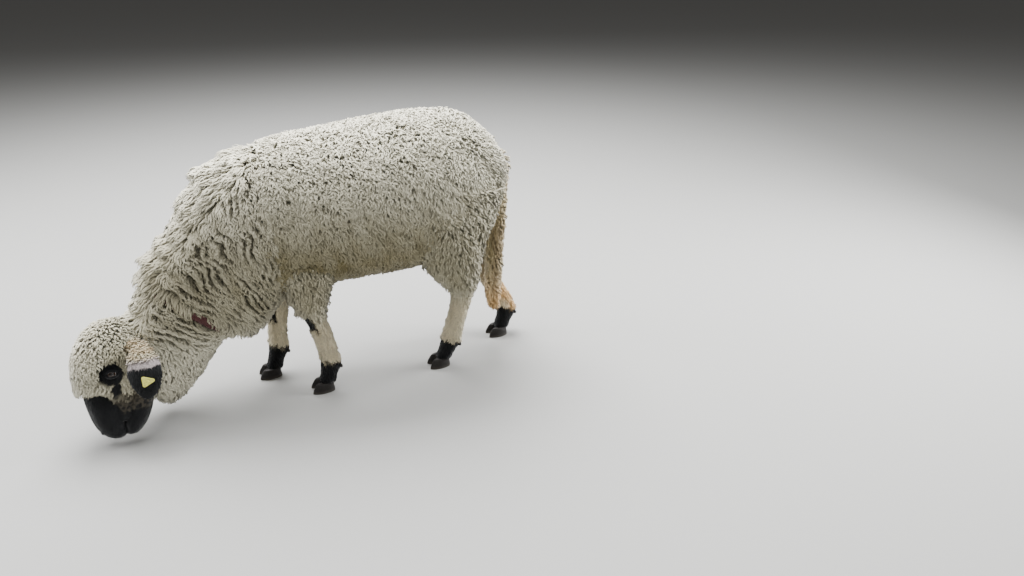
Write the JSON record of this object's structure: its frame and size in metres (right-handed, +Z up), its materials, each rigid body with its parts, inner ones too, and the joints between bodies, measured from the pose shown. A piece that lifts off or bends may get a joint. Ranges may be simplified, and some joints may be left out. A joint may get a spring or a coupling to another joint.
{
  "type": "grazing valais blacknose sheep",
  "caption": "Still life-size sheep with curly cream fleece, black nose, eyes, ears and feet, standing in mid-step with its head down to graze.",
  "frame": {"origin": "on the ground under the soles, at the centre of the bounding box seen from above", "axes": "+Z up, -X the way the sheep faces, -Y its left side, which the camera sees"},
  "size_m": [1.3117, 0.4123, 0.7883],
  "materials": {
    "wool": "matt cream fleece, black on the face and feet",
    "black_fur": "matt short black fur",
    "eye": "wet gloss",
    "tag": "satin, slightly dirty, left bare",
    "strap": "worn webbing",
    "hoof": "dull horn"
  },
  "bodies": {
    "root": {"torso": "wool", "neck": "wool", "head": "wool", "tail": "wool", "fore_leg_left": "wool", "fore_leg_right": "wool", "hind_leg_left": "wool", "hind_leg_right": "wool", "ear_left": "black_fur", "ear_right": "black_fur", "eye_left": "eye", "eye_right": "eye", "ear_tag": "tag", "collar": "strap", "fore_hoof_left_outer": "hoof", "fore_hoof_left_inner": "hoof", "fore_hoof_right_outer": "hoof", "fore_hoof_right_inner": "hoof", "hind_hoof_left_outer": "hoof", "hind_hoof_left_inner": "hoof", "hind_hoof_right_outer": "hoof", "hind_hoof_right_inner": "hoof"}
  },
  "joints": []
}
